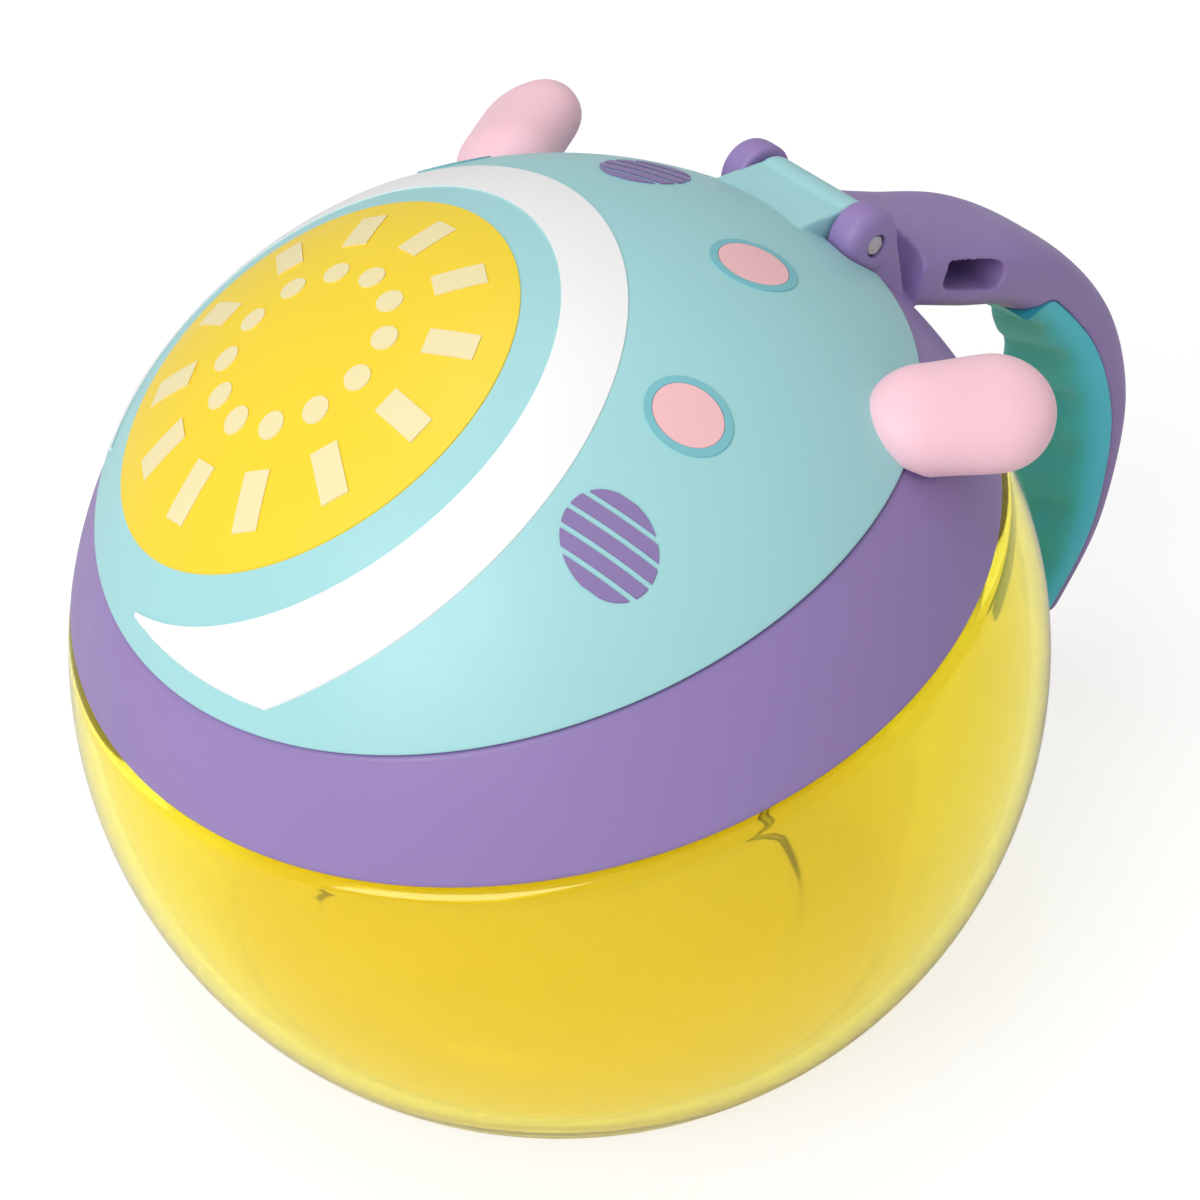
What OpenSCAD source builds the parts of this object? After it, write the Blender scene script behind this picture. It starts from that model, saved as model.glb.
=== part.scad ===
// Toddler snack container: a ball-shaped cup with a slanted, screw-on collar,
// soft flaps to reach through, a hinged lid and a soft-grip carrying hook.
// Origin: middle of the flat base. +Z up, -Y front, +Y the hinge and handle side.

/* [Ball] */
// Radius of the ball that bowl, collar and lid share
ball_r = 54; // [51:0.5:58]
// Radius of the flat base
base_r = 38.2; // [33:0.1:40]
// Rounding where the base meets the wall
base_round = 3; // [1:0.5:5]
// Wall of the bowl
bowl_wall = 2; // [1.6:0.1:2.6]
// Thickness of the bowl's floor
floor_t = 2.6; // [2:0.1:4]

/* [Opening and thread] */
// Forward slant of the bowl's opening
collar_tilt = 12.4; // [8:0.2:15]
// Height of the bowl's shoulder above the ball's middle, along the slanted axis
shoulder_h = 17.8; // [16:0.2:21]
// Height of the threaded neck above the shoulder
neck_rise = 5.4; // [4.6:0.1:6]
// How far the neck's inner wall stands in from the ball's radius
neck_inset = 14; // [13:0.1:15]
// Wall of the neck
neck_wall = 2; // [1.6:0.1:2.4]
// Height of the lowest neck rib above the shoulder
rib_lift = 2; // [1.8:0.1:2.2]
// Depth of a thread rib
rib_depth = 1.2; // [0.8:0.1:1.4]
// Height of a thread rib
rib_w = 1.2; // [1:0.1:1.4]
// Rise of the thread in one turn
thread_lead = 20; // [18:0.5:22]
// Number of thread starts
thread_starts = 6; // [6:1:6]
// Length of one thread rib round the neck, in degrees
rib_span = 36; // [28:2:38]
// Radial clearance between neck and collar
thread_gap = 0.4; // [0.3:0.05:0.6]
// Gap between the bowl's shoulder and the collar
seam_gap = 0.3; // [0.3:0.05:0.6]
// Rounding of the outer edges at the seams
seam_round = 0.8; // [0.4:0.1:1.8]

/* [Seal] */
// Thickness of the seal's flange
seal_t = 1; // [0.8:0.1:1.4]
// Depth of the seal's plug inside the neck
seal_plug = 2.4; // [1.5:0.1:3]
// Wall of the seal's plug
seal_wall = 1.4; // [1:0.1:1.8]
// Clearance round the seal
seal_gap = 0.1; // [0.05:0.05:0.2]

/* [Collar] */
// Forward slant of the lid's edge
lid_tilt = 13.5; // [13:0.1:14.5]
// Height of the collar's top above the ball's middle, along the lid's axis
collar_top = 32.5; // [32:0.1:33.5]
// Sag of the collar's top at its front and back, below its sides
edge_bow = 2.1; // [1.2:0.1:2.4]
// Width of the collar's rim round the recess that takes the lid's plug
rim_w = 4.52; // [4:0.02:5.2]
// Depth of that recess
recess_depth = 5; // [4.6:0.1:5.2]
// Width of the deck's ledge inside the recess
ledge_w = 4.6; // [3.8:0.1:6]

/* [Flaps] */
// Width of the soft ring between the deck's hole and the flap opening's sides
flap_ring_w = 7; // [6.6:0.1:8.6]
// Thickness of the soft flap ring and flaps
flap_t = 1.2; // [1:0.1:1.4]
// Number of flaps
flap_count = 6; // [6:1:6]
// Width of the slits between flaps, and round their roots
flap_slit = 0.6; // [0.4:0.1:1]
// Radius of the round hole where the flaps meet
flap_hole_r = 4; // [2:0.5:6]
// Depth of the lip that seats the flap ring in the deck
flap_lip = 1.6; // [1:0.1:2]

/* [Lid] */
// Wall of the lid's shell
lid_wall = 2.2; // [1.8:0.1:2.8]
// Height of the lid's surface over the ball's
lid_proud = 0.4; // [0.2:0.1:0.8]
// Gap between the lid's edge and the collar
lid_gap = 0.35; // [0.3:0.05:0.6]
// Clearance between the lid's plug and the recess
plug_gap = 0.6; // [0.5:0.05:0.8]
// Depth of the lid's plug below the collar's top
plug_depth = 3.3; // [2.8:0.1:3.4]
// Wall of the lid's plug
plug_wall = 1.6; // [1.2:0.1:2]
// Height of the snap bead on the plug
bead_h = 0.4; // [0.2:0.05:0.45]
// Thickness of one layer of the printed film
film_t = 0.16; // [0.1:0.02:0.2]

/* [Hinge] */
// Distance of the hinge axis behind the lid's edge
hinge_out = 0.9; // [0.8:0.05:1.4]
// Height of the hinge axis over the collar's top
hinge_lift = 1.65; // [1.4:0.05:1.9]
// Radius of the lid's hinge barrel
barrel_r = 3.2; // [2.9:0.1:3.3]
// Length of the lid's hinge barrel
barrel_len = 13.6; // [12:0.2:15]
// Radius of the collar's hinge knuckles
knuckle_r = 3.9; // [3.7:0.1:4.2]
// Width of each knuckle
knuckle_w = 3.9; // [3:0.1:5]
// Rounding of a knuckle's outer rim
knuckle_round = 1.6; // [0.8:0.1:2]
// Gap between barrel and knuckle
hinge_gap = 0.35; // [0.3:0.05:0.5]
// Radius of the steel hinge pin
pin_r = 1.25; // [1:0.05:1.5]
// Running clearance round the pin in the barrel
pin_run = 0.05; // [0.03:0.01:0.09]
// Depth of the pin's ends below the knuckles' faces
pin_inset = 0.3; // [0.1:0.1:0.6]

/* [Handle] */
// Half width of the handle at its root
root_half_w = 10.2; // [9:0.2:11]
// Half width of the handle at the grip
grip_half_w = 8; // [7:0.2:9.5]
// Thickness of the handle at its root
root_t = 8.4; // [7:0.2:9]
// Thickness of the handle at the grip
grip_t = 9.6; // [8:0.2:11]
// Thickness of the handle at its free end
end_t = 6; // [4:0.2:7]
// How far the handle stands out behind the ball
handle_out = 24; // [21:0.2:26]
// Number of finger ripples in the grip
ripples = 5; // [3:1:7]
// Depth of a finger ripple
ripple_d = 0.8; // [0.4:0.1:1.2]
// Length of the strap slot in the handle's root
slot_len = 10; // [7:0.2:11]
// Height of the strap slot
slot_h = 3.3; // [2.6:0.1:3.6]
// Depth of the strap slot from each side
slot_depth = 8; // [5:0.5:9]

/* [Ear tabs] */
// Length of an ear tab over the lid's surface
ear_len = 13.4; // [11:0.1:18]
// Half width of an ear tab
ear_half_w = 6.4; // [5.5:0.1:8]
// Half thickness of an ear tab
ear_half_t = 4.4; // [2.5:0.1:4.8]

/* [Printed film] */
// Radius of the sun
sun_r = 23; // [19:0.5:24]
// Place of the sun across the lid
sun_x = -8; // [-10:0.5:2]
// Place of the sun along the lid, towards the hinge
sun_y = -15; // [-16:0.5:-6]
// Gap between the sun and the white arc round it
halo_gap = 4; // [2:0.5:6]
// Width of the white arc
halo_w = 6.5; // [5:0.5:8]
// Number of rays in the sun
ray_count = 12; // [8:1:16]
// Radius of the pink spots
spot_r = 3.4; // [2.5:0.1:4]
// Width of the cyan rings round the spots
ring_w = 0.8; // [0.5:0.1:1.2]
// Radius of the striped discs
striped_r = 4.6; // [3.5:0.1:5.5]

/* [Hidden] */
$fn = 144;

// Colours, as the photograph shows them
c_bowl = [0.96, 0.82, 0.08, 0.55];
c_purple = [0.50, 0.40, 0.64];
c_teal = [0.60, 0.82, 0.83];
c_grip = [0.32, 0.66, 0.64];
c_pink = [0.97, 0.74, 0.79];
c_white = [0.96, 0.96, 0.95];
c_yellow = [0.97, 0.84, 0.20];
c_cream = [0.95, 0.90, 0.68];
c_cyan = [0.40, 0.72, 0.78];
c_steel = [0.75, 0.75, 0.76];

big = 4 * ball_r;
tiny = 0.01;
ball_z = sqrt(ball_r * ball_r - base_r * base_r);
neck_in_r = ball_r - neck_inset;
neck_out_r = neck_in_r + neck_wall;
crest_r = neck_out_r + rib_depth;
bore_r = crest_r + thread_gap;
neck_top = shoulder_h + neck_rise;
deck_under = neck_top + seal_t + 2 * seal_gap;
recess_floor = collar_top - recess_depth;
lid_edge_h = collar_top + lid_gap;
lid_r = ball_r + lid_proud;
collar_edge_r = sqrt(ball_r * ball_r - collar_top * collar_top);
bow_r = (collar_edge_r * collar_edge_r + edge_bow * edge_bow) / (2 * edge_bow);
recess_r = collar_edge_r - rim_w;
deck_hole_r = recess_r - ledge_w;
flap_apothem = deck_hole_r - flap_ring_w;
handle_reach = ball_r + handle_out;
plug_r = recess_r - plug_gap;
plug_low = collar_top - plug_depth;
hinge_y = collar_edge_r + hinge_out;
hinge_h = collar_top + hinge_lift;
knuckle_in = barrel_len / 2 + hinge_gap;
knuckle_out = knuckle_in + knuckle_w;
flap_axis = flap_apothem - flap_slit - flap_t / 2;
flap_mid_h = recess_floor + flap_t / 2;

module at_ball() { translate([0, 0, ball_z]) children(); }
module collar_frame() { at_ball() rotate([collar_tilt, 0, 0]) children(); }
module lid_frame() { at_ball() rotate([lid_tilt, 0, 0]) children(); }
module at_hinge() { lid_frame() translate([0, hinge_y, hinge_h]) children(); }
module along_x(len) { rotate([0, 90, 0]) translate([0, 0, -len / 2]) children(); }
// Everything under the bowed surface that parts collar and lid, raised by a gap
module under_edge(gap) {
    translate([0, 0, collar_top - bow_r]) along_x(big) cylinder(r = bow_r + gap, h = big);
}
// Everything above the plane at height h, or below it
module above(h) { translate([-big / 2, -big / 2, h]) cube([big, big, big]); }
module below(h) { translate([-big / 2, -big / 2, h - big]) cube([big, big, big]); }

// Half section of a ball of radius r, cut level at height h with a rounded edge; side is 1 above
// the cut and -1 below it
module rounded_cut(r, h, round, side) {
    centre_h = h + side * round;
    centre_x = sqrt((r - round) * (r - round) - centre_h * centre_h);
    intersection() {
        union() {
            intersection() {
                circle(r = r);
                polygon([
                    [0, h], [centre_x, h], [centre_x, centre_h],
                    [1.5 * centre_x, 1.5 * centre_h],
                    [big, side * big], [0, side * big]
                ]);
            }
            translate([centre_x, centre_h]) circle(r = round, $fn = 48);
        }
        translate([0, -big / 2]) square([big, big]);
    }
}

// One thread rib from radius r0 to r1, its first end at height h0 and angle a0: a piece of ring
// tilted by the thread's slope, which follows the helix to a few hundredths over its short span
module thread_rib(r0, r1, h0, a0) {
    slope = atan(thread_lead / (2 * PI * crest_r));
    taper = rib_w / 4;
    rotate([0, 0, a0 + rib_span / 2]) translate([0, 0, h0 + thread_lead * rib_span / 720])
        rotate([slope, 0, 0]) rotate([0, 0, -rib_span / 2]) rotate_extrude(angle = rib_span)
            polygon([[r0, 0], [r1, taper], [r1, rib_w - taper], [r0, rib_w]]);
}

// Solid through rings of points, each ring with the same number of points, joined pair by pair
module chain(rings) {
    n = len(rings[0]);
    for (i = [0:len(rings) - 2]) hull() polyhedron(
        points = concat(rings[i], rings[i + 1]),
        faces = concat(
            [[for (j = [0:n - 1]) j]],
            [[for (j = [n - 1:-1:0]) n + j]],
            [for (j = [0:n - 1]) each [[j, j + n, (j + 1) % n], [(j + 1) % n, j + n, (j + 1) % n + n]]]
        )
    );
}

// Bowl: a ball with a flat base, an open slanted top and a threaded neck
module bowl() {
    color(c_bowl) difference() {
        union() {
            intersection() {
                collar_frame() rotate_extrude()
                    rounded_cut(ball_r, shoulder_h - seam_gap, seam_round, -1);
                at_ball() rotate_extrude() rounded_cut(ball_r, -ball_z, base_round, 1);
            }
            collar_frame() translate([0, 0, shoulder_h - bowl_wall])
                cylinder(r = neck_out_r, h = neck_rise + bowl_wall);
            collar_frame() for (i = [0:thread_starts - 1])
                thread_rib(neck_out_r - 0.6, crest_r, shoulder_h + rib_lift, i * 360 / thread_starts);
        }
        intersection() {
            at_ball() sphere(r = ball_r - bowl_wall);
            collar_frame() below(shoulder_h - seam_gap - bowl_wall);
            above(floor_t);
        }
        collar_frame() cylinder(r = neck_in_r, h = neck_top + 1);
    }
}

// Seal: a soft ring between the neck's top and the collar, with a plug inside the neck
module seal_ring() {
    plug_out = neck_in_r - seal_gap;
    color(c_white) collar_frame() difference() {
        union() {
            translate([0, 0, neck_top + seal_gap]) cylinder(r = neck_out_r, h = seal_t);
            translate([0, 0, neck_top - seal_plug])
                cylinder(r = plug_out, h = seal_plug + seal_gap + seal_t);
        }
        translate([0, 0, neck_top - seal_plug - 1])
            cylinder(r = plug_out - seal_wall, h = seal_plug + seal_t + 3);
    }
}

// One hinge knuckle, a rounded disc on a cheek that runs down into the collar
module knuckle(side) {
    edge = knuckle_round;
    at_hinge() translate([side * knuckle_in, 0, 0]) rotate([0, side * 90, 0]) rotate_extrude() union() {
        square([knuckle_r - edge, knuckle_w]);
        square([knuckle_r, knuckle_w - edge]);
        translate([knuckle_r - edge, knuckle_w - edge]) circle(r = edge, $fn = 32);
    }
    cheek(side);
}
// The cheek under a knuckle; the handle's root is cut to it
module cheek(side) {
    w = knuckle_w - 0.5;
    at_hinge() translate([side * (knuckle_in + w / 2), 0, 0]) along_x(w) linear_extrude(w) polygon([
        [0, 0.872 * knuckle_r], knuckle_r * [1.54, 0.795], knuckle_r * [3.08, 0.667], knuckle_r * [3.08, -1.282],
        knuckle_r * [1.282, -1.282], knuckle_r * [0.872, -0.564], knuckle_r * [0, -0.256]
    ]);
}

// Collar: threaded skirt, ball-shaped outside, deck and recess for the lid, hinge knuckles
module collar() {
    color(c_purple) difference() {
        union() {
            intersection() {
                collar_frame() rotate_extrude() rounded_cut(ball_r, shoulder_h, seam_round, 1);
                lid_frame() under_edge(0);
            }
            knuckle(-1);
            knuckle(1);
        }
        collar_frame() translate([0, 0, shoulder_h - 1]) cylinder(r = bore_r, h = deck_under - shoulder_h + 1);
        lid_frame() translate([0, 0, recess_floor]) cylinder(r = recess_r, h = recess_depth + 1);
        collar_frame() cylinder(r = deck_hole_r, h = 2 * ball_r);
        // Room for the lid's barrel and its web
        at_hinge() along_x(2 * knuckle_in) cylinder(r = barrel_r + 0.5, h = 2 * knuckle_in);
        at_hinge() along_x(2 * knuckle_out + 1) cylinder(r = pin_r, h = 2 * knuckle_out + 1, $fn = 48);
    }
    color(c_purple) collar_frame() for (i = [0:thread_starts - 1])
        thread_rib(bore_r + 0.6, bore_r - rib_depth,
                   shoulder_h + rib_lift - thread_lead / thread_starts / 2, i * 360 / thread_starts);
}

// Pin: a steel rod through knuckles and barrel
module hinge_pin() {
    len = 2 * (knuckle_out - pin_inset);
    color(c_steel) at_hinge() along_x(len) cylinder(r = pin_r, h = len, $fn = 48);
}

// Middle line of the handle in the side view, from the collar's back to the free end
handle_line = [
    ball_r * [0.7593, 0.6667], ball_r * [0.9444, 0.5907], ball_r * [1.1185, 0.5222],
    [handle_reach, 0] + ball_r * [-0.1889, 0.4148], [handle_reach, 0] + ball_r * [-0.0611, 0.2519],
    [handle_reach, 0] + ball_r * [0, 0.0556], [handle_reach, 0] + ball_r * [-0.0111, -0.1444],
    [handle_reach, 0] + ball_r * [-0.063, -0.3333], [handle_reach, 0] + ball_r * [-0.1352, -0.4926]
];
slot_turn = -20.5;
handle_steps = 36;
grip_from = 0.285;

function smooth(a, b, x) = let (t = min(1, max(0, (x - a) / (b - a)))) t * t * (3 - 2 * t);
function mix(a, b, t) = a + (b - a) * t;
// Point on the smooth curve through the middle line's points, u from 0 to 1
function on_line(u) =
    let (
        n = len(handle_line) - 1,
        k = min(n - 1, floor(u * n)),
        t = u * n - k,
        p0 = handle_line[max(0, k - 1)],
        p1 = handle_line[k],
        p2 = handle_line[k + 1],
        p3 = handle_line[min(n, k + 2)]
    )
    0.5 * ((2 * p1) + (p2 - p0) * t + (2 * p0 - 5 * p1 + 4 * p2 - p3) * t * t
           + (3 * p1 - p0 - 3 * p2 + p3) * t * t * t);
function outward(u) =
    let (d = on_line(min(1, u + 0.005)) - on_line(max(0, u - 0.005)), l = norm(d)) [-d[1], d[0]] / l;
function handle_half_w(u) = mix(root_half_w, grip_half_w, smooth(0.12, 0.5, u)) - 1.6 * smooth(0.8, 1, u);
function handle_thick(u) =
    mix(mix(root_t, grip_t, smooth(0.1, 0.45, u)), end_t, smooth(0.62, 1, u));
// Where the grip meets the handle, measured outwards from the middle line
function split_at(u) =
    mix(-handle_thick(u) / 2 - tiny, mix(-0.08, 0.06, smooth(0.42, 0.8, u)) * handle_thick(u),
        smooth(grip_from, grip_from + 0.07, u));
// Rounded-box section: point at angle a, across and outwards
function box_point(u, a) =
    let (p = 2 / 3.2, c = cos(a), s = sin(a))
    [
        handle_half_w(u) * sign(c) * pow(abs(c), p),
        handle_thick(u) / 2 * sign(s) * pow(abs(s), p)
    ];
function place(u, q) =
    let (m = on_line(u), o = outward(u)) [q[0], m[0] + o[0] * q[1], m[1] + o[1] * q[1]];
ring_angles = [for (i = [0:27]) i * 360 / 28];
function ripple(u) = ripple_d * 0.5 * (1 - cos(360 * ripples * (u - 0.38) / 0.5))
    * smooth(0.36, 0.42, u) * (1 - smooth(0.86, 0.92, u));
function handle_ring(u) = [
    for (a = ring_angles) let (q = box_point(u, a)) place(u, [q[0], max(q[1], split_at(u))])
];
function grip_ring(u) = [
    for (a = ring_angles)
        let (q = box_point(u, a), inner = max(0, -sin(a)))
        place(u, [q[0], min(q[1] + ripple(u) * inner, split_at(u))])
];

// Handle: an open hook of rounded section, seated on the collar's back
module handle() {
    color(c_purple) difference() {
        at_ball() chain([for (i = [0:handle_steps]) handle_ring(i / handle_steps)]);
        // Seat on the collar, round the barrel and the cheeks
        at_ball() sphere(r = ball_r);
        at_hinge() along_x(2 * knuckle_out) cylinder(r = knuckle_r + 0.3, h = 2 * knuckle_out);
        for (side = [-1, 1]) cheek(side);
        // Strap slots
        for (side = [-1, 1]) at_ball()
            translate([side * root_half_w, 0.95 * ball_r, 0.6074 * ball_r]) rotate([slot_turn, 0, 0])
            cube([2 * slot_depth, slot_len, slot_h], center = true);
    }
}

// Grip: soft overmould on the inner face of the hook, with finger ripples
module handle_grip() {
    first = ceil((grip_from + 0.02) * handle_steps);
    color(c_grip) at_ball() chain([for (i = [first:handle_steps]) grip_ring(i / handle_steps)]);
}

// Flap ring: soft ring on the collar's deck round a six-sided opening
module flap_ring() {
    color(c_white) lid_frame() difference() {
        union() {
            translate([0, 0, recess_floor]) cylinder(r = recess_r - 0.2, h = flap_t);
            translate([0, 0, recess_floor - flap_lip]) cylinder(r = deck_hole_r - 1.2, h = flap_lip + tiny);
        }
        translate([0, 0, recess_floor - flap_lip - 1]) rotate([0, 0, 180 / flap_count])
            cylinder(r = flap_apothem / cos(180 / flap_count), h = 2 * flap_lip + 4, $fn = flap_count);
    }
}

// One flap: a triangular petal with a rounded root that it bends about
module flap(index) {
    turn = index * 360 / flap_count;
    root_half = flap_axis * tan(180 / flap_count) - flap_slit;
    color(c_white) lid_frame() rotate([0, 0, turn]) translate([0, 0, flap_mid_h]) difference() {
        union() {
            translate([0, 0, -flap_t / 2]) linear_extrude(flap_t) polygon([
                [flap_axis, -root_half], [flap_axis, root_half],
                [flap_slit, 0]
            ]);
            translate([flap_axis, 0, 0]) rotate([90, 0, 0])
                cylinder(r = flap_t / 2, h = 2 * root_half, center = true, $fn = 32);
        }
        cylinder(r = flap_hole_r, h = 4 * flap_t, center = true);
    }
}
module flap_1() { flap(0); }
module flap_2() { flap(1); }
module flap_3() { flap(2); }
module flap_4() { flap(3); }
module flap_5() { flap(4); }
module flap_6() { flap(5); }

// Lid shell: ball-shaped cap with the hinge barrel
module lid_shell() {
    color(c_teal) difference() {
        union() {
            lid_frame() difference() {
                sphere(r = lid_r);
                sphere(r = lid_r - lid_wall);
                under_edge(lid_gap);
            }
            at_hinge() along_x(barrel_len) cylinder(r = barrel_r, h = barrel_len);
            // Web from the barrel's crown to the shell
            at_hinge() along_x(barrel_len) linear_extrude(barrel_len) polygon([
                barrel_r * [-0.981, -0.175], barrel_r * [-1.469, -1.875], barrel_r * [-1.031, -1.75],
                barrel_r * [0.312, -0.312], [0, 0]
            ]);
        }
        // Room for the collar's knuckles
        for (side = [-1, 1]) at_hinge() translate([side * (knuckle_in + knuckle_w / 2), 0, 0])
            along_x(knuckle_w + 2 * hinge_gap) cylinder(r = knuckle_r + hinge_gap, h = knuckle_w + 2 * hinge_gap);
        at_hinge() along_x(barrel_len + 2)
            cylinder(r = pin_r + pin_run, h = barrel_len + 2, $fn = 48);
    }
}

// Lid liner: inner panel with the plug that fits the collar's recess
module lid_liner() {
    seat_top = lid_edge_h + 1.4;
    seat_r = sqrt(pow(lid_r - lid_wall, 2) - seat_top * seat_top) - 0.05;
    color(c_white) lid_frame() difference() {
        union() {
            translate([0, 0, lid_edge_h + tiny]) cylinder(r = seat_r, h = seat_top - lid_edge_h - tiny);
            translate([0, 0, plug_low]) cylinder(r = plug_r, h = seat_top - plug_low);
            translate([0, 0, plug_low + bead_h]) rotate_extrude()
                translate([plug_r - 0.1, 0]) circle(r = bead_h, $fn = 24);
        }
        translate([0, 0, plug_low - 1]) cylinder(r = plug_r - plug_wall, h = lid_edge_h - plug_low + 1);
    }
}

// Ear tab: soft rounded paddle that grows from the lid's edge
ear_root = ball_r * [0.638, 0.377, 0.731];
ear_turn = 58;
ear_roll = 30;
ear_rise = 2;
module ear_tab(side) {
    color(c_pink) at_ball() mirror([side < 0 ? 1 : 0, 0, 0]) difference() {
        translate(ear_root) rotate([0, 0, ear_turn]) rotate([ear_roll, -ear_rise, 0]) hull() {
            ear_lobe(0, ear_half_w - 0.4, ear_half_t);
            ear_lobe(ear_len - ear_half_w, ear_half_w, ear_half_t - 0.2);
        }
        sphere(r = lid_r);
        rotate([lid_tilt, 0, 0]) intersection() {
            under_edge(lid_gap);
            sphere(r = lid_r + 0.5);
        }
    }
}
// Flat round lobe with full-round edges at a distance along the tab
module ear_lobe(along, half_w, half_t) {
    translate([along, 0, 0]) rotate_extrude($fn = 32) translate([half_w - half_t, 0])
        intersection() {
            circle(r = half_t, $fn = 24);
            translate([0, -half_t]) square([half_t, 2 * half_t]);
        }
}
module left_ear_tab() { ear_tab(-1); }
module right_ear_tab() { ear_tab(1); }

// Printed film: thin layers on the lid, cut from a ball-shaped skin by flat outlines
module film(layer) {
    lid_frame() intersection() {
        difference() {
            sphere(r = lid_r + film_t * (layer + 1));
            sphere(r = lid_r + film_t * layer);
            under_edge(lid_gap + 1.5);
        }
        translate([0, 0, lid_edge_h - 3]) linear_extrude(ball_r) children();
    }
}
module at_sun() { translate([sun_x, sun_y]) children(); }
// White arc round the sun
module film_halo() {
    color(c_white) film(0) intersection() {
        at_sun() difference() {
            circle(r = sun_r + halo_gap + halo_w);
            circle(r = sun_r + halo_gap);
        }
        circle(r = collar_edge_r);
    }
}
// Yellow sun
module film_sun() { color(c_yellow) film(0) at_sun() circle(r = sun_r); }
// Cream rays and beads on the sun
module film_rays() {
    ray_w = 0.13 * sun_r;
    color(c_cream) film(1) at_sun() for (i = [0:ray_count - 1]) rotate(i * 360 / ray_count) {
        translate([0.62 * sun_r, -ray_w / 2]) square([0.24 * sun_r, ray_w]);
        translate([0.42 * sun_r, 0]) circle(r = 0.065 * sun_r, $fn = 32);
    }
}
// Places of the ringed spots and of the striped discs on the lid
spot_places = ball_r * [[0.5, 0.111], [0.259, 0.481], [-0.537, 0.352]];
striped_places = ball_r * [[-0.13, 0.537], [0.583, -0.167]];
// Cyan rings round the pink spots
module film_rings() {
    color(c_cyan) film(0) for (p = spot_places) translate(p) difference() {
        circle(r = spot_r + ring_w, $fn = 48);
        circle(r = spot_r, $fn = 48);
    }
}
// Pink spots
module film_spots() {
    color(c_pink) film(0) for (p = spot_places) translate(p) circle(r = spot_r, $fn = 48);
}
// Purple discs cut into stripes
module film_stripes() {
    pitch = striped_r / 2.4;
    color(c_purple) film(0) for (p = striped_places) translate(p) rotate(20) intersection() {
        circle(r = striped_r, $fn = 48);
        for (i = [-2:2]) translate([-striped_r, (i - 0.35) * pitch]) square([2 * striped_r, 0.7 * pitch]);
    }
}

bowl();
seal_ring();
collar();
handle();
handle_grip();
hinge_pin();
flap_ring();
flap_1();
flap_2();
flap_3();
flap_4();
flap_5();
flap_6();
lid_shell();
lid_liner();
left_ear_tab();
right_ear_tab();
film_halo();
film_sun();
film_rays();
film_rings();
film_spots();
film_stripes();
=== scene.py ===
"""Toddler snack container: detailed pieces, materials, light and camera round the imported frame."""
import math

import bmesh
import bpy
import numpy as np
from mathutils import Matrix, Vector


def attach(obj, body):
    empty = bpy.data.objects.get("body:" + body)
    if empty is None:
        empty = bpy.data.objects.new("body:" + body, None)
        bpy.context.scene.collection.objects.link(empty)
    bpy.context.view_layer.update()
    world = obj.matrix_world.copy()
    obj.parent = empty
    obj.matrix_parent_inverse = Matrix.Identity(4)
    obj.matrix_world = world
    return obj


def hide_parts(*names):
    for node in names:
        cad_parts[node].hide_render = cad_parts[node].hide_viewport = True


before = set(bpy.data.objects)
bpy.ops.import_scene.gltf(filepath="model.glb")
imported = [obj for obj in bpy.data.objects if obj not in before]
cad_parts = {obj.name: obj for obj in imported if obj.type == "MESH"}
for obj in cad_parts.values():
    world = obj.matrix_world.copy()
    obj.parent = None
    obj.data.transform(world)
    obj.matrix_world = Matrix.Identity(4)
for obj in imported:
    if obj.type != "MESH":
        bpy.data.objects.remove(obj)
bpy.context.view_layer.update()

# Sizes, in mm, as in the CAD
MM = 0.001
BALL_R, BASE_R, BASE_ROUND = 54.0, 38.2, 3.0
WALL, FLOOR_T = 2.0, 2.6
BALL_Z = math.sqrt(BALL_R ** 2 - BASE_R ** 2)
COLLAR_TILT, LID_TILT = math.radians(12.4), math.radians(13.5)
SHOULDER, SEAM_GAP, SEAM_ROUND = 17.8, 0.3, 0.8
NECK_R, NECK_WALL, NECK_RISE = 40.0, 2.0, 5.4
NECK_OUT, NECK_TOP = NECK_R + NECK_WALL, SHOULDER + NECK_RISE
RIB_DEPTH, RIB_W, RIB_LIFT, RIB_SPAN, LEAD, STARTS = 1.2, 1.2, 2.0, 36.0, 20.0, 6
BORE_R = NECK_OUT + RIB_DEPTH + 0.4
SEAL_T = 1.0
DECK_UNDER = NECK_TOP + SEAL_T + 0.2
COLLAR_TOP, EDGE_BOW = 32.5, 2.1
EDGE_R = math.sqrt(BALL_R ** 2 - COLLAR_TOP ** 2)
BOW_R = (EDGE_R ** 2 + EDGE_BOW ** 2) / (2 * EDGE_BOW)
RECESS_R, RECESS_FLOOR = EDGE_R - 4.52, COLLAR_TOP - 5.0
DECK_HOLE = RECESS_R - 4.6
FLAP_APOTHEM = DECK_HOLE - 7.0
FLAP_T, FLAP_SLIT, FLAP_LIP, FLAP_HOLE = 1.2, 0.6, 1.6, 4.0
LID_R, LID_WALL, LID_GAP = BALL_R + 0.4, 2.2, 0.35
PLUG_R, PLUG_LOW, PLUG_WALL = RECESS_R - 0.6, COLLAR_TOP - 3.3, 1.6
HINGE_Y, HINGE_H = EDGE_R + 0.9, COLLAR_TOP + 1.65
BARREL_R, BARREL_LEN = 3.2, 13.6
KNUCKLE_R, KNUCKLE_W, KNUCKLE_ROUND = 3.9, 3.9, 1.6
HINGE_GAP, PIN_R, PIN_INSET = 0.35, 1.25, 0.3
KNUCKLE_IN = BARREL_LEN / 2 + HINGE_GAP
KNUCKLE_OUT = KNUCKLE_IN + KNUCKLE_W
FILM_T = 0.16
# How far from a corner the collar's rim begins to round
EDGE_SOFT = 0.45
TURN = 2 * math.pi

AROUND = 256


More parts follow.
